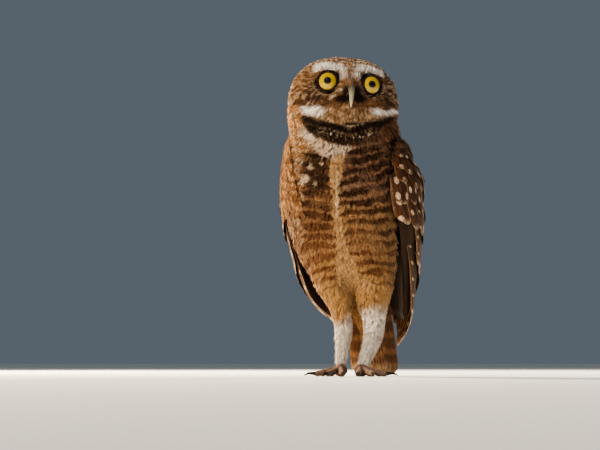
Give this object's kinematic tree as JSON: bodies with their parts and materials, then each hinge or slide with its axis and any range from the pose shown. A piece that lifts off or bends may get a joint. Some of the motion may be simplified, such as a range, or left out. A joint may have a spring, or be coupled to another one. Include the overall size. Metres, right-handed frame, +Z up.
{
  "type": "burrowing owl",
  "caption": "Life-size still model of a burrowing owl standing upright, its head turned to the front, wings hanging beside the tail.",
  "frame": {"origin": "on the floor, at the bottom centre of the bounding box", "axes": "+Z up, -Y the way the breast faces, +X to the owl's left"},
  "size_m": [0.111, 0.1018, 0.2402],
  "materials": {
    "head_plumage": "soft barred and spotted feathers",
    "body_plumage": "soft barred and spotted feathers",
    "tail_feathers": "stiff barred tail feathers",
    "wing_feathers": "stiff dark feathers with pale spots",
    "leg_plumage": "short pale down",
    "foot_skin": "scaly bare skin with bristles",
    "claw_horn": "dark smooth horn",
    "eye": "wet and clear, yellow iris round a black pupil",
    "bill_horn": "pale satin horn"
  },
  "bodies": {
    "root": {"head": "head_plumage", "neck": "body_plumage", "torso": "body_plumage", "tail": "tail_feathers", "wing_left": "wing_feathers", "wing_right": "wing_feathers", "thigh_left": "leg_plumage", "thigh_right": "leg_plumage", "shank_left": "leg_plumage", "shank_right": "leg_plumage", "foot_left": "foot_skin", "foot_right": "foot_skin", "claw_left_1": "claw_horn", "claw_left_2": "claw_horn", "claw_left_3": "claw_horn", "claw_left_4": "claw_horn", "claw_right_1": "claw_horn", "claw_right_2": "claw_horn", "claw_right_3": "claw_horn", "claw_right_4": "claw_horn", "eye_left": "eye", "eye_right": "eye", "bill_upper": "bill_horn", "bill_lower": "bill_horn"}
  },
  "joints": []
}
